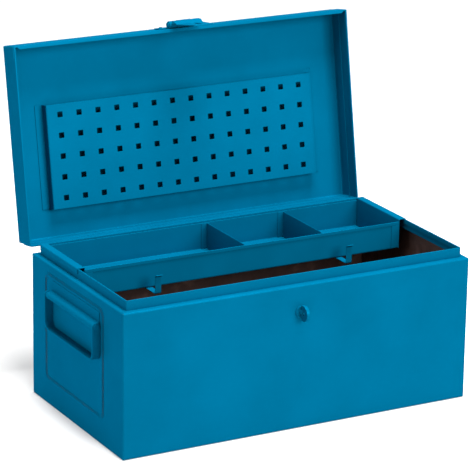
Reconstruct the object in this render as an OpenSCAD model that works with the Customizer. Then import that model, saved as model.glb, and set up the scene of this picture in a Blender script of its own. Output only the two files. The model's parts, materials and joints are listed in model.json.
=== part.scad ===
// Steel tool chest: folded body with a rim, hinged pan lid with a perforated tool panel,
// hasp and turning staple, two drop handles and a lift-out tray with three compartments.
// Origin: middle of the underside. X runs to the right seen from the front, Y to the back.

/* [Body] */
// Width over the side panels
body_w = 690; // [660:5:740]
// Depth over the front and back panels
body_d = 368; // [360:2:400]
// Height up to the shoulder that the lid sits on
body_h = 266; // [260:2:300]
// Thickness of the body and lid sheet
sheet = 1.2; // [1:0.1:1.4]
// Outside radius of the bends and pressed corners
bend_r = 4; // [3:0.5:5]
// Width of the shoulder, from the outer face in to the rim
ledge_w = 11.5; // [11.5:0.5:14]
// Height of the rim above the shoulder
rim_h = 17.5; // [15:0.5:20]

/* [Pressed bead on each side panel] */
// Length of the bead's rectangle, front to back
bead_l = 238; // [210:2:260]
// Height of the bead's rectangle
bead_h = 204; // [180:2:208]
// How far the rectangle sits behind the middle of the side
bead_shift = 10; // [0:1:20]
// Width of the bead
bead_w = 8; // [6:1:9]
// How far the bead stands proud
bead_rise = 1.5; // [1:0.1:2]

/* [Lid] */
// Height of the shut lid above the shoulder
lid_h = 55; // [50:1:60]
// How far the lid's faces stand in from the body's faces
lid_inset = 3.5; // [3:0.5:4]
// Angle that the lid stands open at
lid_open = 100; // [90:1:105]
// Height of the stiffening band along the lid's lower edge
band_h = 29; // [24:1:34]
// Step out to the stiffening band
band_step = 1.5; // [0.8:0.1:1.6]
// Length of the corner tabs that lap over the lid's sides
tab_l = 24; // [16:1:30]

/* [Perforated panel] */
// Width of the panel's face
panel_w = 548; // [540:2:580]
// Height of the panel's face
panel_h = 190; // [180:2:200]
// Distance between hole centres
hole_pitch = 38; // [36:1:40]
// Side of each square hole
hole_side = 10; // [6:1:12]
// Holes along the panel
hole_columns = 14; // [10:1:14]
// Rows of holes
hole_rows = 5; // [3:1:5]
// Gap between the panel's face and the lid
panel_gap = 17; // [12:1:18]
// How far the panel sits behind the middle of the lid
panel_shift = 30; // [20:1:40]

/* [Lid hinges] */
// Distance of each hinge from the middle
hinge_x = 190; // [120:5:260]
// Length of a hinge
hinge_l = 80; // [60:2:100]
// Radius of the hinge barrel
hinge_r = 7; // [6.8:0.1:7.2]

/* [Hasp] */
// Width of the hasp's hinge leaf
hasp_leaf_w = 104; // [90:2:120]
// Length of the hasp's hinge barrel
hasp_barrel_l = 64; // [60:2:80]
// Radius of the hasp's hinge barrel
hasp_r = 6.5; // [6:0.1:6.6]
// Width of the strap below the barrel
strap_w = 56; // [50:1:60]
// Width of the strap's end
strap_end_w = 38; // [30:1:44]
// Length of the strap, from the barrel's axis
strap_l = 80; // [76:1:90]

/* [Turning staple] */
// Height of the staple's axis
staple_z = 217; // [214:1:220]
// Height of the staple's eye
eye_h = 28; // [26:1:36]
// Thickness of the staple's eye
eye_t = 6; // [4:0.5:7]
// Diameter of the padlock hole
padlock_d = 9; // [7:0.5:10]

/* [Handles] */
// Height of the handle's pivot
handle_z = 216; // [200:2:220]
// Distance between the centre lines of the loop's legs
handle_span = 192; // [160:4:200]
// Drop from the pivot to the centre line of the grip
handle_drop = 61; // [55:1:75]
// Width of the loop's strap
grip_w = 15; // [12:0.5:15]
// Thickness of the loop's strap
grip_t = 3; // [2.5:0.5:4]

/* [Tray] */
// Length over the tray's end walls
tray_l = 642; // [620:2:644]
// Depth of the tray, front to back
tray_d = 153; // [140:1:160]
// Height of the tray's front and back walls
tray_h = 51; // [40:1:55]
// Thickness of the tray's sheet
tray_t = 1; // [0.8:0.1:1.2]
// First divider, as a share of the tray's length
divider_1 = 0.5; // [0.3:0.05:0.6]
// Second divider, as a share of the tray's length
divider_2 = 0.75; // [0.65:0.05:0.9]
// Distance of each tool cradle from the middle
cradle_x = 194; // [120:2:240]

/* [Hidden] */
$fn = 48;

blue = [0.02, 0.43, 0.64];
dark_blue = [0.02, 0.33, 0.50];
eps = 0.01;
run_clear = 0.06;         // radial clearance of a pin or neck that turns in its bore
move_gap = 0.5;           // gap between a moving piece and its neighbour
lid_lift = 0.4;           // gap between the lid's edge and the shoulder
hem_h = 8;                // height of a folded edge
hem_t = 2 * sheet + 0.2;  // thickness of a folded edge
lid_flange_w = 6.6;       // width of the flange folded in along the lid's front edge

front_y = -body_d / 2;
back_y = body_d / 2;
rim_top = body_h + rim_h;
rim_x = body_w / 2 - ledge_w;
rim_y = body_d / 2 - ledge_w;
rim_r = 2.5;
bead_r = 16;
bead_slope = 2.6;         // width of the lower step on each side of the bead
bead_z = body_h - 16 - bead_h / 2;

lid_w = body_w - 2 * lid_inset;
lid_d = body_d - 2 * lid_inset;
lid_top = body_h + lid_h;
panel_z = lid_top - sheet - panel_gap - sheet;

hinge_y = back_y + hinge_r + 0.4;
hinge_z = body_h - 4.5;
hinge_pin_r = 3;
hinge_leaf_t = 2;
hinge_mid_l = 29;         // length of the lid leaf's knuckle
hinge_screw_x = 28;       // spacing of a leaf's rivets from its middle
body_leaf_low = body_h - 38;
lid_leaf_high = body_h + 26;

rivet_head_r = 4;
rivet_head_h = 1.6;
pin_head_t = 1.6;         // thickness of the cap on a pin's end
pin_head_lip = 1.8;       // how far a pin's cap stands out past the pin

skirt_y = -lid_d / 2;     // outer face of the lid's front band, shut
hasp_leaf_t = 2;
hasp_y = skirt_y - hasp_r - 0.7;
hasp_z = body_h + 5;
hasp_pin_r = 2.5;
hasp_mid_l = 30;          // length of the strap's own knuckle
strap_t = 2.5;
strap_gap = 0.6;          // gap between the strap and the staple's base
slot_w = 9.5;
slot_h = eye_h + 4;
base_r = 12;
base_t = 2;
neck_r = 4.3;
strap_in_y = front_y - base_t - strap_gap - strap_t / 2;
strap_out_y = hasp_y - hasp_r + strap_t / 2;
eye_start = strap_in_y - strap_t / 2 - 0.8;
eye_centre = eye_start - 6;
eye_lap = 0.5;            // how far the neck runs into the eye
neck_in = 4.7;            // how far the neck's end stands behind the panel's outer face
washer_y = front_y + sheet + 0.3;
washer_r = 9;
washer_t = 2;

bracket_t = 1.5;
roll_r = 6.5;
rod_r = 3.5;
handle_out = bead_rise + grip_w / 2 - 0.5;  // pivot's distance from the side panel
handle_x = body_w / 2 + handle_out;
bracket_l = handle_span - grip_t - 2 * move_gap;
bracket_top = handle_z + 25.5;

tray_back = rim_y - hem_t - 0.6;
tray_front = tray_back - tray_d;
tray_low = body_h - 37;
tray_hem = 6;
tray_r = 3;               // outside radius of the pan's lower bends
hook_z = rim_top + 0.3 + tray_t / 2;
hook_x = rim_x + 0.5 + tray_t / 2;
hook_low = rim_top - 9;
flange_l = 16;
cradle_w = 12;
cradle_t = 1.5;
cradle_reach = 33;
cradle_rise = 31;

// ---- Outlines and sheet forms ----

// Points along an arc about c, from angle a to angle b
function arc(c, r, a, b, n = 6) = [for (i = [0:n]) let (w = a + (b - a) * i / n) c + r * [cos(w), sin(w)]];

// Centred w by h rectangle with rounded corners
function round_rect(w, h, r) = [
    for (q = [[1, 1, 0], [-1, 1, 90], [-1, -1, 180], [1, -1, 270]])
        each arc([q[0] * (w / 2 - r), q[1] * (h / 2 - r)], r, q[2], q[2] + 90)
];

function unit(v) = v / norm(v);
function left_of(v) = [-v[1], v[0]];
function turn(a, b) = atan2(a[0] * b[1] - a[1] * b[0], a * b);
function spin(v, w) = [v[0] * cos(w) - v[1] * sin(w), v[0] * sin(w) + v[1] * cos(w)];

// [point, left normal] along a path whose corners are rounded to radius r
function rounded_path(path, r, n = 6) = let (last = len(path) - 1) [
    [path[0], left_of(unit(path[1] - path[0]))],
    for (i = [1:last - 1])
        let (
            a = unit(path[i] - path[i - 1]),
            w = turn(a, unit(path[i + 1] - path[i])),
            side = sign(w),
            centre = path[i] - a * r * tan(abs(w) / 2) + left_of(a) * side * r
        )
        for (k = [0:n])
            let (normal = spin(left_of(a), w * k / n))
                [centre - side * r * normal, normal],
    [path[last], left_of(unit(path[last] - path[last - 1]))]
];

// Outline of a sheet of thickness t folded along a path
function folded(path, t, r) = let (p = rounded_path(path, r)) concat(
    [for (q = p) q[0] + q[1] * t / 2],
    [for (i = [len(p) - 1:-1:0]) p[i][0] - p[i][1] * t / 2]
);

// Sheet folded along a path in the YZ plane, extruded over length l about x
module folded_along_x(path, t, r, l, x = 0) {
    translate([x - l / 2, 0, 0]) rotate([90, 0, 90])
        linear_extrude(l) polygon(folded(path, t, r));
}

// Sheet folded along a path in the XZ plane, extruded from y0 to y1
module folded_along_y(path, t, r, y0, y1) {
    translate([0, y1, 0]) rotate([90, 0, 0])
        linear_extrude(y1 - y0) polygon(folded(path, t, r));
}

// Block with rounded edges and corners, standing on z = 0
module soft_block(size, r) {
    intersection() {
        linear_extrude(size.z) polygon(round_rect(size.x, size.y, r));
        translate([0, size.y / 2, size.z / 2]) rotate([90, 0, 0])
            linear_extrude(size.y) polygon(round_rect(size.x, size.z, r));
        translate([-size.x / 2, 0, size.z / 2]) rotate([90, 0, 90])
            linear_extrude(size.x) polygon(round_rect(size.y, size.z, r));
    }
}

// Upright rectangular ring of wall t, measured over its outer faces
module ring(w, d, t, r, z0, z1) {
    translate([0, 0, z0]) linear_extrude(z1 - z0) difference() {
        polygon(round_rect(w, d, r));
        polygon(round_rect(w - 2 * t, d - 2 * t, max(r - t, 0.3)));
    }
}

// Cylinder along X, centred on x, about the point [y, z]
module rod_x(x, y, z, r, l) translate([x - l / 2, y, z]) rotate([0, 90, 0]) cylinder(r = r, h = l);

// Cylinder along Y from y0, about the point [x, z]
module rod_y(x, z, r, y0, l) translate([x, y0, z]) rotate([-90, 0, 0]) cylinder(r = r, h = l);

module mirror_if(flip) {
    if (flip) mirror([1, 0, 0]) children();
    else children();
}

// Turns what is drawn for the shut lid to the angle the lid stands open at
module opened() {
    translate([0, hinge_y, hinge_z]) rotate([-lid_open, 0, 0])
        translate([0, -hinge_y, -hinge_z]) children();
}

// ---- Body ----

// Whole folded body with shoulder, rim and folded rim edge, before it is split into panels
module body_shell() {
    difference() {
        soft_block([body_w, body_d, body_h], bend_r);
        translate([0, 0, sheet])
            soft_block([body_w - 2 * sheet, body_d - 2 * sheet, body_h - 2 * sheet], bend_r - sheet);
        translate([-rim_x + sheet, -rim_y + sheet, body_h / 2])
            cube([2 * (rim_x - sheet), 2 * (rim_y - sheet), body_h]);
    }
    ring(2 * rim_x, 2 * rim_y, sheet, rim_r, body_h - sheet / 2, rim_top);
    ring(2 * rim_x, 2 * rim_y, hem_t, rim_r, rim_top - hem_h, rim_top);
}

// Region of one side panel: mitred to the front and back at 45 degrees
module side_region() {
    deep = 60;
    translate([0, 0, bend_r]) linear_extrude(body_h + rim_h)
        polygon([
            [body_w / 2 + 5, -body_d / 2 - 5], [body_w / 2 + 5, body_d / 2 + 5],
            [body_w / 2 - deep, body_d / 2 - deep], [body_w / 2 - deep, -body_d / 2 + deep]
        ]);
}

module wrap_panel() {
    color(blue) difference() {
        body_shell();
        side_region();
        mirror([1, 0, 0]) side_region();
        rod_y(0, staple_z, neck_r + run_clear, front_y - 1, 4);
    }
}

// Raised bead in two steps, pressed out of the side panel
module side_bead() {
    translate([body_w / 2 - eps, bead_shift, bead_z]) rotate([90, 0, 90])
        for (step = [[0, bead_rise / 2], [bead_slope, bead_rise]]) let (hole = 2 * (bead_w - step[0]))
            linear_extrude(step[1] + eps) difference() {
                polygon(round_rect(bead_l - 2 * step[0], bead_h - 2 * step[0], bead_r));
                polygon(round_rect(bead_l - hole, bead_h - hole, bead_r - bead_w + 2));
            }
}

module side_panel(left) {
    color(dark_blue) mirror_if(left) {
        intersection() {
            body_shell();
            side_region();
        }
        side_bead();
    }
}

// ---- Lid, drawn shut ----

// Space of the lid's plate and upper sides, less the small pocket pressed beside the panel
module lid_plate_region(low) {
    pocket_l = 8;
    pocket_d = 4;
    pocket_y = panel_shift - panel_h / 2 - pocket_d - 4;
    pocket_top = lid_top - sheet / 2;
    difference() {
        translate([-lid_w / 2, -lid_d / 2, low]) cube([lid_w, lid_d, lid_h]);
        translate([panel_w / 2 + 2, pocket_y, low]) cube([pocket_l, pocket_d, pocket_top - low]);
    }
}

// Flange folded in along the lid's front edge, with slanted ends
module front_flange(low) {
    end_x = lid_w / 2 - bend_r;
    translate([0, skirt_y, low]) linear_extrude(sheet) polygon([
        [-end_x, sheet / 2], [end_x, sheet / 2],
        [end_x - lid_flange_w, lid_flange_w], [-end_x + lid_flange_w, lid_flange_w]
    ]);
}

module lid_shell() {
    upper_w = lid_w - 2 * band_step;
    upper_d = lid_d - 2 * band_step;
    low = body_h + lid_lift;
    band_top = body_h + band_h;
    tab_gap = 2;
    color(blue) opened() {
        intersection() {
            difference() {
                translate([0, 0, lid_top - 2 * lid_h]) soft_block([upper_w, upper_d, 2 * lid_h], bend_r);
                translate([0, 0, lid_top - 2 * lid_h - sheet])
                    soft_block([upper_w - 2 * sheet, upper_d - 2 * sheet, 2 * lid_h], bend_r - sheet);
            }
            lid_plate_region(band_top - sheet);
        }
        ring(lid_w, lid_d, sheet, bend_r, low, band_top);
        ring(lid_w, lid_d, sheet + band_step, bend_r, band_top - sheet, band_top);
        ring(lid_w, lid_d, hem_t, bend_r, low, low + hem_h);
        front_flange(low);
        for (x = [-1, 1])
            translate([x * lid_w / 2 - (x > 0 ? eps : band_step), skirt_y + 1, low + tab_gap])
                cube([band_step + eps, tab_l, band_h - 2 * tab_gap - 1]);
    }
}

// Hat-shaped panel: face, two side legs with feet, and a short lip along each long edge
module perforated_panel() {
    half = panel_w / 2 - sheet / 2;
    face_z = panel_z + sheet / 2;
    foot_z = lid_top - 1.5 * sheet;
    foot = 15;
    lip = 8;
    fold_r = 1.6;
    y0 = panel_shift - panel_h / 2;
    color(dark_blue) opened() difference() {
        union() {
            folded_along_y([
                [-half - foot, foot_z], [-half, foot_z], [-half, face_z],
                [half, face_z], [half, foot_z], [half + foot, foot_z]
            ], sheet, fold_r, y0, y0 + panel_h);
            for (y = [y0, y0 + panel_h - sheet])
                translate([-half + 2, y, face_z]) cube([2 * half - 4, sheet, lip]);
        }
        for (i = [0:hole_columns - 1], j = [0:hole_rows - 1])
            translate([
                (i - (hole_columns - 1) / 2) * hole_pitch - hole_side / 2,
                panel_shift + (j - (hole_rows - 1) / 2) * hole_pitch - hole_side / 2,
                panel_z - 1
            ]) cube([hole_side, hole_side, sheet + 2]);
    }
}

// ---- Lid hinges ----

// Points where a hinge leaf is riveted, as distances from the hinge's middle
module at_leaf_rivets(x) for (s = [-1, 1]) translate([x + s * hinge_screw_x, 0, 0]) children();

module hinge_body_leaf(x) {
    end_l = (hinge_l - hinge_mid_l) / 2 - move_gap;
    color(dark_blue) difference() {
        union() {
            translate([x - hinge_l / 2, back_y, body_leaf_low])
                cube([hinge_l, hinge_leaf_t, hinge_z - body_leaf_low]);
            for (s = [-1, 1]) rod_x(x + s * (hinge_l - end_l) / 2, hinge_y, hinge_z, hinge_r, end_l);
        }
        rod_x(x, hinge_y, hinge_z, hinge_r + move_gap, hinge_mid_l + 2 * move_gap);
        rod_x(x, hinge_y, hinge_z, hinge_pin_r + run_clear, hinge_l + 2);
    }
}

// Stop that meets the body leaf when the lid is open, drawn in the open position
module hinge_stop(x) {
    size = [16, 5, 9];
    gap = 0.3;
    translate([x - size.x / 2, back_y + hinge_leaf_t + gap, hinge_z - 3 - size.z]) cube(size);
}

module hinge_lid_leaf(x) {
    plate_y = lid_d / 2 + hinge_leaf_t / 2;
    foot_z = hinge_z + hinge_r - hinge_leaf_t / 2;
    color(dark_blue) difference() {
        union() {
            opened() {
                translate([x - hinge_l / 2, lid_d / 2, foot_z])
                    cube([hinge_l, hinge_leaf_t, lid_leaf_high - foot_z]);
                folded_along_x([[plate_y, lid_leaf_high], [plate_y, foot_z], [hinge_y, foot_z]],
                    hinge_leaf_t, 1.5, hinge_mid_l, x);
                rod_x(x, hinge_y, hinge_z, hinge_r, hinge_mid_l);
            }
            hinge_stop(x);
        }
        rod_x(x, hinge_y, hinge_z, hinge_pin_r + run_clear, hinge_l + 2);
    }
}

module hinge_pin(x) {
    color("silver") {
        rod_x(x, hinge_y, hinge_z, hinge_pin_r, hinge_l + 2 * move_gap);
        for (s = [-1, 1])
            rod_x(x + s * (hinge_l / 2 + move_gap + pin_head_t / 2), hinge_y, hinge_z,
                hinge_pin_r + pin_head_lip, pin_head_t);
    }
}

// Low rivet head on a face that looks along +Y, at height z
module rivet_head(y, z) {
    translate([0, y, z]) rotate([-90, 0, 0]) {
        cylinder(r = rivet_head_r, h = rivet_head_h / 2);
        cylinder(r = rivet_head_r - 1, h = rivet_head_h);
    }
}

module hinge_body_rivets() {
    color(blue) for (x = [-hinge_x, hinge_x]) at_leaf_rivets(x)
        rivet_head(back_y + hinge_leaf_t, body_leaf_low + 10);
}

module hinge_lid_rivets() {
    color(blue) opened() for (x = [-hinge_x, hinge_x]) at_leaf_rivets(x)
        rivet_head(lid_d / 2 + hinge_leaf_t, body_h + 14);
}

// ---- Hasp and turning staple ----

module hasp_leaf() {
    end_l = (hasp_barrel_l - hasp_mid_l) / 2 - move_gap;
    color(blue) opened() difference() {
        union() {
            translate([-hasp_leaf_w / 2, skirt_y - hasp_leaf_t, hasp_z - 1])
                cube([hasp_leaf_w, hasp_leaf_t, 20]);
            for (s = [-1, 1]) rod_x(s * (hasp_barrel_l - end_l) / 2, hasp_y, hasp_z, hasp_r, end_l);
        }
        rod_x(0, hasp_y, hasp_z, hasp_r + move_gap, hasp_mid_l + 2 * move_gap);
        rod_x(0, hasp_y, hasp_z, hasp_pin_r + run_clear, hasp_barrel_l + 2);
    }
}

// Outline of the strap seen from the front: a knuckle, shoulders and a tapered end
module strap_outline() {
    low = hasp_z - strap_l;
    wide_z = hasp_z - hasp_r - 3;
    polygon([
        [-hasp_mid_l / 2, hasp_z + 1], [-hasp_mid_l / 2, wide_z + 2], [-strap_w / 2, wide_z + 1],
        [-strap_w / 2, wide_z - 6],
        each arc([-strap_end_w / 2 + 6, low + 6], 6, 190, 270),
        each arc([strap_end_w / 2 - 6, low + 6], 6, 270, 350),
        [strap_w / 2, wide_z - 6],
        [strap_w / 2, wide_z + 1], [hasp_mid_l / 2, wide_z + 2], [hasp_mid_l / 2, hasp_z + 1]
    ]);
}

module hasp_strap() {
    crank_z = hasp_z - 15;
    color(blue) opened() difference() {
        union() {
            intersection() {
                folded_along_x([
                    [strap_out_y, hasp_z + 1], [strap_out_y, crank_z],
                    [strap_in_y, crank_z - 9], [strap_in_y, hasp_z - strap_l]
                ], strap_t, 4, strap_w + 2);
                translate([0, hasp_y + 20, 0]) rotate([90, 0, 0]) linear_extrude(40) strap_outline();
            }
            rod_x(0, hasp_y, hasp_z, hasp_r, hasp_mid_l);
        }
        translate([-slot_w / 2, strap_in_y - 5, staple_z - slot_h / 2]) cube([slot_w, 10, slot_h]);
        rod_x(0, hasp_y, hasp_z, hasp_pin_r + run_clear, hasp_barrel_l + 2);
    }
}

module hasp_pin() {
    color(blue) opened() {
        rod_x(0, hasp_y, hasp_z, hasp_pin_r, hasp_barrel_l + 2 * move_gap);
        for (s = [-1, 1])
            rod_x(s * (hasp_barrel_l / 2 + move_gap + pin_head_t / 2), hasp_y, hasp_z,
                hasp_pin_r + pin_head_lip, pin_head_t);
    }
}

module hasp_rivets() {
    color(blue) opened() for (s = [-1, 1])
        translate([s * (hasp_leaf_w / 2 - 9), 0, 0]) rotate([0, 0, 180])
            rivet_head(-skirt_y + hasp_leaf_t, hasp_z + 10);
}

module staple_base() {
    color(blue) difference() {
        union() {
            rod_y(0, staple_z, base_r, front_y - base_t / 2, base_t / 2);
            rod_y(0, staple_z, base_r - 1, front_y - base_t, base_t);
        }
        rod_y(0, staple_z, neck_r + run_clear, front_y - base_t - 1, base_t + 2);
    }
}

// Round neck through the front panel with a D-shaped eye that takes the padlock
module turn_staple() {
    color(blue) difference() {
        union() {
            rod_y(0, staple_z, neck_r, eye_start - eye_lap, front_y + neck_in - eye_start + eye_lap);
            translate([-eye_t / 2, 0, staple_z]) rotate([90, 0, 90]) linear_extrude(eye_t)
                polygon(concat(
                    [[eye_start, -eye_h / 2], [eye_start, eye_h / 2]],
                    arc([eye_centre, 0], eye_h / 2, 90, 270, 24)
                ));
        }
        rod_x(0, eye_centre, staple_z, padlock_d / 2, 2 * eye_t);
    }
}

module staple_washer() {
    color("silver") difference() {
        rod_y(0, staple_z, washer_r, washer_y, washer_t);
        rod_y(0, staple_z, neck_r + eps, washer_y - 1, washer_t + 2);
    }
}

// ---- Drop handles ----

// Plate on the side panel whose lower edge is rolled round the rod
module handle_bracket(left) {
    color(blue) mirror_if(left) difference() {
        union() {
            translate([body_w / 2, -bracket_l / 2, handle_z])
                cube([bracket_t, bracket_l, bracket_top - handle_z]);
            translate([body_w / 2, -bracket_l / 2, handle_z + 1])
                cube([handle_out, bracket_l, roll_r - 1]);
            rod_y(handle_x, handle_z, roll_r, -bracket_l / 2, bracket_l);
        }
        rod_y(handle_x, handle_z, rod_r + run_clear, -bracket_l / 2 - 1, bracket_l + 2);
    }
}

module handle_rod(left) {
    over = handle_span / 2 + grip_t / 2 + 0.2;
    color(blue) mirror_if(left) {
        rod_y(handle_x, handle_z, rod_r, -over, 2 * over);
        for (y = [-over - pin_head_t, over]) rod_y(handle_x, handle_z, rod_r + pin_head_lip, y, pin_head_t);
    }
}

// Strap bent into a loop, its width square to the side panel, with an eye at each end
module handle_loop(left) {
    h = handle_span / 2;
    color(blue) mirror_if(left) difference() {
        union() {
            translate([handle_x - grip_w / 2, 0, 0]) rotate([90, 0, 90]) linear_extrude(grip_w)
                polygon(folded([
                    [-h, handle_z], [-h, handle_z - handle_drop],
                    [h, handle_z - handle_drop], [h, handle_z]
                ], grip_t, 14));
            for (s = [-1, 1]) rod_y(handle_x, handle_z, grip_w / 2, s * h - grip_t / 2, grip_t);
        }
        rod_y(handle_x, handle_z, rod_r + eps, -h - 5, 2 * h + 10);
    }
}

// ---- Tray ----

// Front wall, floor and back wall in one sheet, with the top edges folded out
module tray_pan() {
    low = tray_low + tray_t / 2;
    front = tray_front + tray_t / 2 + tray_t;
    back = tray_back - tray_t / 2 - tray_t;
    top = tray_low + tray_h;
    inside = tray_l - 2 * tray_t;
    color(blue) {
        folded_along_x([[front, top], [front, low], [back, low], [back, top]],
            tray_t, tray_r - tray_t / 2, inside);
        for (y = [tray_front, tray_back - tray_t - eps])
            translate([-inside / 2, y, top - tray_hem]) cube([inside, tray_t + eps, tray_hem]);
    }
}

// End wall with a hook over the body's rim and a flange lapped on the front and back walls
module tray_end(left) {
    wall_x = tray_l / 2 - tray_t / 2;
    top = tray_low + tray_h;
    color(blue) mirror_if(left) {
        folded_along_y([
            [wall_x, tray_low], [wall_x, hook_z], [hook_x, hook_z], [hook_x, hook_low]
        ], tray_t, 1.6, tray_front, tray_back);
        for (y = [tray_front, tray_back - tray_t])
            translate([wall_x - flange_l, y, tray_low + 2]) cube([flange_l, tray_t, tray_h - tray_hem - 2.3]);
    }
}

// Divider with a flange at each end, bent to the left and lapped on the pan's inner walls
module tray_divider(share) {
    x = (share - 0.5) * tray_l;
    flange = 12;
    gap = 0.1;
    low = tray_low + tray_t;
    high = tray_low + tray_h - 1;
    y0 = tray_front + 2 * tray_t + gap;
    y1 = tray_back - 2 * tray_t - gap;
    color(dark_blue) intersection() {
        translate([0, 0, low]) linear_extrude(high - low) polygon(folded([
            [x - flange, y0 + tray_t / 2], [x, y0 + tray_t / 2],
            [x, y1 - tray_t / 2], [x - flange, y1 - tray_t / 2]
        ], tray_t, 1));
        translate([x - 2 * flange, 0, 0]) rotate([90, 0, 90]) linear_extrude(4 * flange)
            polygon(concat(
                [[y0, high], [y1, high]],
                arc([y1 - tray_r, low + tray_r], tray_r, 0, -90),
                arc([y0 + tray_r, low + tray_r], tray_r, 270, 180)
            ));
    }
}

// J-shaped strip under the tray that holds a long tool in front of it
module tray_cradle(x) {
    z = tray_low - cradle_t / 2;
    y = tray_front - cradle_reach;
    color(blue) folded_along_x([
        [tray_front + 35, z], [y, z], [y, z + cradle_rise], [y - 5, z + cradle_rise + 4]
    ], cradle_t, 2.5, cradle_w, x);
}

wrap_panel();
side_panel(true);  // side_panel_left
side_panel(false);  // side_panel_right
lid_shell();
perforated_panel();
hinge_body_leaf(-hinge_x);  // hinge_body_leaf_left
hinge_body_leaf(hinge_x);  // hinge_body_leaf_right
hinge_lid_leaf(-hinge_x);  // hinge_lid_leaf_left
hinge_lid_leaf(hinge_x);  // hinge_lid_leaf_right
hinge_pin(-hinge_x);  // hinge_pin_left
hinge_pin(hinge_x);  // hinge_pin_right
hinge_body_rivets();
hinge_lid_rivets();
hasp_leaf();
hasp_strap();
hasp_pin();
hasp_rivets();
staple_base();
turn_staple();
staple_washer();
handle_bracket(true);  // handle_bracket_left
handle_bracket(false);  // handle_bracket_right
handle_loop(true);  // handle_loop_left
handle_loop(false);  // handle_loop_right
handle_rod(true);  // handle_rod_left
handle_rod(false);  // handle_rod_right
tray_pan();
tray_end(true);  // tray_end_left
tray_end(false);  // tray_end_right
tray_divider(divider_1);  // tray_divider_middle
tray_divider(divider_2);  // tray_divider_right
tray_cradle(-cradle_x);  // tray_cradle_left
tray_cradle(cradle_x);  // tray_cradle_right
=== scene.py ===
"""Looks of the steel tool chest: blue enamel, brown primer inside, zinc-plated hinge pins.

Panels and straps get finished copies with softly rounded edges, which stand for the CAD nodes.
Metres, in the CAD frame: X to the right seen from the front, Y to the back, Z up.
"""

import json
import math

import bmesh
import bpy
from mathutils import Matrix, Vector


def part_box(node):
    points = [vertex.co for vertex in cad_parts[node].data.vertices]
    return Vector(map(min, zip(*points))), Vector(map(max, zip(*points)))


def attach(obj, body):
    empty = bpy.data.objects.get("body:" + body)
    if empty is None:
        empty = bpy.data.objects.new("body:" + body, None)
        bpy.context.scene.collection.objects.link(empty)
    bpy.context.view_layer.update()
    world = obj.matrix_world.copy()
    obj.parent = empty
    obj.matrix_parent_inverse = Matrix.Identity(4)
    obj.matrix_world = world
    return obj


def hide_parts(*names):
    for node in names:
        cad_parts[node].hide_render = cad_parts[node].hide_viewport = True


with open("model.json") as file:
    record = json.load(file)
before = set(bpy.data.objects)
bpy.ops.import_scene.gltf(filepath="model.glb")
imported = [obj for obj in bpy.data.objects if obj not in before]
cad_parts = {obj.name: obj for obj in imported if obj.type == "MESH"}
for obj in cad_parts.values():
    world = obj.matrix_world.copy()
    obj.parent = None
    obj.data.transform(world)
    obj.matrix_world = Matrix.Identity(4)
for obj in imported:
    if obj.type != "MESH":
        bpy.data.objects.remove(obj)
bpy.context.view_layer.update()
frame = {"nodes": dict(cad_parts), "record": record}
NODES = frame["nodes"]

# Camera, fitted to the angle the chest is seen from
CAMERA_AT = Vector((-2.3196, -4.1804, 1.8320))
CAMERA_YAW = math.radians(28.68)
CAMERA_PITCH = math.radians(17.73)
CAMERA_ROLL = math.radians(0.842)
CAMERA_LENS_MM = 215.78
SENSOR_MM = 36.0

MM = 0.001
SHEET = 1.2 * MM
RIM_HEIGHT = 17.5 * MM
BEAD_RISE = 1.5 * MM
PANEL_EDGE = 0.35 * MM
STRIP_EDGE = 0.5 * MM
EDGE_SEGMENTS = 2
WELD = 0.001 * MM
# Reach of the painted shade in folds and seams.
PAINTED_SHADE_REACH = 2.0 * MM
FLOOR_DROP = 0.3 * MM
FLOOR_SIZE = 60.0

BEVEL_ABOVE = math.radians(32)
SHARP_ABOVE = math.radians(50)
FLAT_BELOW = math.radians(0.6)


# ---- Materials ----

def new_material(name):
    """New node material; returns it with its node tree and its shader."""
    material = bpy.data.materials.new(name)
    material.use_nodes = True
    tree = material.node_tree
    return material, tree, tree.nodes["Principled BSDF"]


def object_noise(tree, scale, detail=2.0, roughness=0.5):
    """Noise in the object's own space, so that it moves with the piece."""
    coords = tree.nodes.new("ShaderNodeTexCoord")
    noise = tree.nodes.new("ShaderNodeTexNoise")
    noise.inputs["Scale"].default_value = scale
    noise.inputs["Detail"].default_value = detail
    noise.inputs["Roughness"].default_value = roughness
    tree.links.new(coords.outputs["Object"], noise.inputs["Vector"])
    return noise.outputs["Fac"]


def ramp(tree, factor, stops):
    """Colour ramp over (position, linear colour) stops."""
    node = tree.nodes.new("ShaderNodeValToRGB")
    for element, (position, colour) in zip(node.color_ramp.elements, (stops[0], stops[-1])):
        element.position = position
        element.color = (*colour, 1.0)
    for position, colour in stops[1:-1]:
        node.color_ramp.elements.new(position).color = (*colour, 1.0)
    tree.links.new(factor, node.inputs["Fac"])
    return node.outputs["Color"]


def spread(tree, factor, low, high):
    """Maps a noise value onto low to high."""
    node = tree.nodes.new("ShaderNodeMapRange")
    node.inputs["From Min"].default_value = 0.3
    node.inputs["From Max"].default_value = 0.7
    node.inputs["To Min"].default_value = low
    node.inputs["To Max"].default_value = high
    tree.links.new(factor, node.inputs["Value"])
    return node.outputs["Result"]


def bump(tree, layers):
    """Chain of bumps, one for each (height, strength, distance)."""
    normal = None
    for height, strength, distance in layers:
        node = tree.nodes.new("ShaderNodeBump")
        node.inputs["Strength"].default_value = strength
        node.inputs["Distance"].default_value = distance
        tree.links.new(height, node.inputs["Height"])
        if normal is not None:
            tree.links.new(normal, node.inputs["Normal"])
        normal = node.outputs["Normal"]
    return normal


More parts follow.
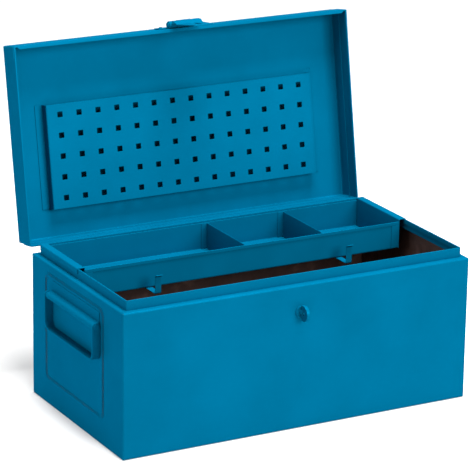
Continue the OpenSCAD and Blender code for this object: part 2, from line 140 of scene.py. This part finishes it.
def painted_crease_shade(tree, colour, shade):
    """Painted shade: multiplies a colour by shade in folds and seams narrower than the reach."""
    # Ambient occlusion picks out the folds and seams that get the painted shade.
    crease_occlusion = tree.nodes.new("ShaderNodeAmbientOcclusion")
    crease_occlusion.samples = 8
    crease_occlusion.inputs["Distance"].default_value = PAINTED_SHADE_REACH
    shade_tint = ramp(tree, crease_occlusion.outputs["AO"], [(0.35, (shade, shade, shade)), (0.85, (1.0, 1.0, 1.0))])
    mix = tree.nodes.new("ShaderNodeMix")
    mix.data_type = "RGBA"
    mix.blend_type = "MULTIPLY"
    mix.inputs["Factor"].default_value = 1.0
    colour_a, colour_b = (socket for socket in mix.inputs if socket.type == "RGBA")
    tree.links.new(colour, colour_a)
    tree.links.new(shade_tint, colour_b)
    return next(socket for socket in mix.outputs if socket.type == "RGBA")


def enamel(name, colour):
    """Enamel on steel sheet: even colour, slight waves, fine orange peel, and painted shade darker in
    the seams.
    """
    material, tree, shader = new_material(name)
    clouds = object_noise(tree, 9.0, 3.0)
    darker = tuple(0.93 * c for c in colour)
    lighter = tuple(1.05 * c for c in colour)
    even = ramp(tree, clouds, [(0.3, darker), (0.7, lighter)])
    # Painted shade: the enamel colour is darkened in folds and seams, as if shadowed there.
    crease_shaded = painted_crease_shade(tree, even, 0.65)
    tree.links.new(crease_shaded, shader.inputs["Base Color"])
    dull = spread(tree, object_noise(tree, 35.0, 4.0), 0.30, 0.40)
    tree.links.new(dull, shader.inputs["Roughness"])
    peel = object_noise(tree, 520.0, 1.0)
    waves = object_noise(tree, 14.0, 1.0)
    relief = bump(tree, [(waves, 0.20, 0.6 * MM), (peel, 0.20, 0.06 * MM)])
    tree.links.new(relief, shader.inputs["Normal"])
    shader.inputs["Metallic"].default_value = 0.16
    shader.inputs["Specular IOR Level"].default_value = 0.0
    shader.inputs["Specular Tint"].default_value = (0.0, 0.60, 1.0, 1.0)
    return material


def primer(name):
    """Thin brown primer inside the body: matt, cloudy, with a fine grain."""
    material, tree, shader = new_material(name)
    clouds = object_noise(tree, 16.0, 5.0, 0.6)
    stops = [(0.25, (0.034, 0.018, 0.015)), (0.55, (0.066, 0.035, 0.028)), (0.8, (0.170, 0.100, 0.083))]
    tree.links.new(ramp(tree, clouds, stops), shader.inputs["Base Color"])
    dull = spread(tree, object_noise(tree, 60.0, 3.0), 0.55, 0.75)
    tree.links.new(dull, shader.inputs["Roughness"])
    grain = object_noise(tree, 900.0, 2.0)
    tree.links.new(bump(tree, [(grain, 0.25, 0.08 * MM)]), shader.inputs["Normal"])
    shader.inputs["Specular IOR Level"].default_value = 0.35
    return material


def zinc(name):
    """Zinc-plated steel of the hinge pins and the washer, cloudy, with a fine grain."""
    material, tree, shader = new_material(name)
    clouds = object_noise(tree, 180.0, 3.0)
    stops = [(0.3, (0.36, 0.37, 0.38)), (0.7, (0.56, 0.57, 0.57))]
    tree.links.new(ramp(tree, clouds, stops), shader.inputs["Base Color"])
    dull = spread(tree, object_noise(tree, 400.0, 2.0), 0.28, 0.42)
    tree.links.new(dull, shader.inputs["Roughness"])
    grain = object_noise(tree, 1500.0, 1.0)
    tree.links.new(bump(tree, [(grain, 0.15, 0.03 * MM)]), shader.inputs["Normal"])
    shader.inputs["Metallic"].default_value = 1.0
    return material


def floor_material(name):
    """Plain pale studio floor, which glows a little to lighten its shadows."""
    material, tree, shader = new_material(name)
    clouds = object_noise(tree, 3.0, 2.0)
    stops = [(0.3, (0.46, 0.46, 0.46)), (0.7, (0.49, 0.49, 0.49))]
    tree.links.new(ramp(tree, clouds, stops), shader.inputs["Base Color"])
    shader.inputs["Roughness"].default_value = 0.9
    shader.inputs["Specular IOR Level"].default_value = 0.1
    shader.inputs["Emission Color"].default_value = (1.0, 1.0, 1.0, 1.0)
    shader.inputs["Emission Strength"].default_value = 0.35
    return material


BLUE = enamel("paint_blue", (0.0, 0.077, 0.150))
DARK_BLUE = enamel("paint_blue_panel", (0.0, 0.075, 0.146))
PRIMER = primer("primer_brown")
ZINC = zinc("zinc_plate")
SLOT_MATERIAL = {"blue_paint": BLUE, "dark_blue_paint": DARK_BLUE, "zinc_steel": ZINC}
SLOT_OF = {part["node"]: part["material_slot"] for part in frame["record"]["subparts"]}
BODY_OF = {
    node: body
    for body, nodes in frame["record"]["behaviour"]["bodies"].items()
    for node in nodes
}


# ---- Finished sheet metal ----

def add_object(name, mesh):
    """New object of the scene around a mesh."""
    piece = bpy.data.objects.new(name, mesh)
    bpy.context.collection.objects.link(piece)
    return piece


def is_mitre(face):
    """True for the 45 degree cut where two panels meet flush: its edges stay sharp."""
    normal = face.normal
    close = 0.02
    return abs(normal.z) < close and abs(abs(normal.x) - abs(normal.y)) < close


def slope_bead(mesh):
    """Gives a side panel's pressed bead sloping sides in place of its two steps."""
    outer = max(abs(vert.co.x) for vert in mesh.vertices)
    face = outer - BEAD_RISE
    step = 0.5 * (outer + face)

    def near(vert, level):
        return abs(abs(vert.co.x) - level) < 0.1 * MM

    moved = {}
    for edge in mesh.edges:
        low, high = sorted((mesh.vertices[i] for i in edge.vertices), key=lambda vert: abs(vert.co.x))
        if near(low, face) and near(high, step):
            moved[high.index] = low.co.x
        if near(low, step) and near(high, outer):
            moved[low.index] = high.co.x
    for index, x in moved.items():
        mesh.vertices[index].co.x = x


def soften(mesh, radius):
    """Merges flat facets and rounds the sharp edges by radius."""
    work = bmesh.new()
    work.from_mesh(mesh)
    bmesh.ops.remove_doubles(work, verts=work.verts, dist=WELD)
    bmesh.ops.dissolve_limit(work, angle_limit=FLAT_BELOW, verts=work.verts, edges=work.edges)
    sharp = [
        edge for edge in work.edges
        if len(edge.link_faces) == 2 and edge.calc_face_angle() > BEVEL_ABOVE
        and not any(is_mitre(face) for face in edge.link_faces)
    ]
    bmesh.ops.bevel(
        work, geom=sharp, offset=radius, offset_type="OFFSET", segments=EDGE_SEGMENTS,
        profile=0.5, affect="EDGES", clamp_overlap=False,
    )
    work.to_mesh(mesh)
    work.free()


def finish_shading(piece):
    """Shades smoothly, and keeps flat faces flat beside rounded edges."""
    piece.data.shade_smooth()
    piece.data.set_sharp_from_angle(angle=SHARP_ABOVE)
    weighted = piece.modifiers.new("even_normals", "WEIGHTED_NORMAL")
    weighted.keep_sharp = True
    weighted.weight = 80


def finished(node, radius):
    """Copy of a CAD node with rounded edges, which stands for the node."""
    mesh = NODES[node].data.copy()
    mesh.materials.clear()
    mesh.materials.append(SLOT_MATERIAL[SLOT_OF[node]])
    if node.startswith("side_panel"):
        slope_bead(mesh)
    soften(mesh, radius)
    for face in mesh.polygons:
        face.material_index = 0
    piece = add_object(node + "_finished", mesh)
    finish_shading(piece)
    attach(piece, BODY_OF[node])
    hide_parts(node)
    return piece


def prime_inside(piece, low, high):
    """Gives the primer to the faces whose middle lies inside the box."""
    mesh = piece.data
    mesh.materials.append(PRIMER)
    for face in mesh.polygons:
        if all(a < c < b for a, c, b in zip(low, face.center, high)):
            face.material_index = 1


SHEET_NODES = [
    "wrap_panel", "side_panel_left", "side_panel_right", "lid_shell", "perforated_panel",
    "tray_pan", "tray_end_left", "tray_end_right", "tray_divider_middle", "tray_divider_right",
]
STRIP_NODES = [
    "tray_cradle_left", "tray_cradle_right", "hasp_leaf", "hasp_strap", "staple_base", "turn_staple",
    "handle_bracket_left", "handle_bracket_right", "handle_loop_left", "handle_loop_right",
]
SMALL_NODES = [
    "hinge_lid_leaf_left", "hinge_lid_leaf_right", "hinge_body_leaf_left", "hinge_body_leaf_right",
    "hinge_pin_left", "hinge_pin_right", "hinge_body_rivets", "hinge_lid_rivets", "hasp_pin",
    "hasp_rivets", "staple_washer", "handle_rod_left", "handle_rod_right",
]


def build_sheet_metal():
    """Finished copies of the panels and straps, with primer on the body's inside below the shoulder."""
    pieces = {node: finished(node, PANEL_EDGE) for node in SHEET_NODES}
    for node in STRIP_NODES:
        finished(node, STRIP_EDGE)
    low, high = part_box("wrap_panel")
    shoulder = high.z - RIM_HEIGHT
    inset = 0.9 * SHEET
    inner_low = low + Vector((inset, inset, inset))
    inner_high = Vector((high.x - inset, high.y - inset, shoulder - inset))
    for node in ("wrap_panel", "side_panel_left", "side_panel_right"):
        prime_inside(pieces[node], inner_low, inner_high)


def colour_small_parts():
    """Materials for the hinges, pins and rivets, which stay as they are in the CAD."""
    for node in SMALL_NODES:
        for slot in NODES[node].material_slots:
            slot.material = SLOT_MATERIAL[SLOT_OF[node]]


# ---- Studio ----

def build_floor():
    bpy.ops.mesh.primitive_plane_add(size=FLOOR_SIZE, location=(0.0, 0.0, -FLOOR_DROP))
    floor = bpy.context.object
    floor.name = "floor"
    floor.data.materials.append(floor_material("floor_pale"))


def softbox(name, at, aim, size, watts):
    """Rectangular area light at a point, turned towards another."""
    data = bpy.data.lights.new(name, "AREA")
    data.shape = "RECTANGLE"
    data.size, data.size_y = size
    data.energy = watts
    light = bpy.data.objects.new(name, data)
    bpy.context.collection.objects.link(light)
    light.location = at
    light.rotation_euler = (Vector(aim) - Vector(at)).to_track_quat("-Z", "Y").to_euler()


def light_studio():
    world = bpy.data.worlds.new("studio")
    bpy.context.scene.world = world
    world.use_nodes = True
    background = world.node_tree.nodes["Background"]
    background.inputs["Color"].default_value = (1.0, 1.0, 1.0, 1.0)
    background.inputs["Strength"].default_value = 0.45
    softbox("softbox_key", (1.2, -4.6, 2.4), (0.0, 0.0, 0.3), (2.8, 2.0), 365.0)
    softbox("softbox_top", (0.1, -0.4, 3.8), (0.1, 0.1, 0.3), (1.8, 1.6), 400.0)
    softbox("softbox_left", (-4.0, 0.5, 0.6), (0.0, 0.0, 0.2), (1.6, 1.0), 84.0)


def build_camera():
    """Camera looking along yaw and pitch, turned by roll about its own axis."""
    data = bpy.data.cameras.new("camera")
    data.lens = CAMERA_LENS_MM
    data.sensor_width = SENSOR_MM
    data.clip_end = 200.0
    camera = bpy.data.objects.new("camera", data)
    bpy.context.collection.objects.link(camera)
    turn = (
        Matrix.Rotation(-CAMERA_YAW, 4, "Z")
        @ Matrix.Rotation(math.pi / 2 - CAMERA_PITCH, 4, "X")
        @ Matrix.Rotation(CAMERA_ROLL, 4, "Z")
    )
    camera.matrix_world = Matrix.Translation(CAMERA_AT) @ turn
    bpy.context.scene.camera = camera


build_sheet_metal()
colour_small_parts()
build_floor()
light_studio()
build_camera()
bpy.context.scene.view_settings.view_transform = "Standard"
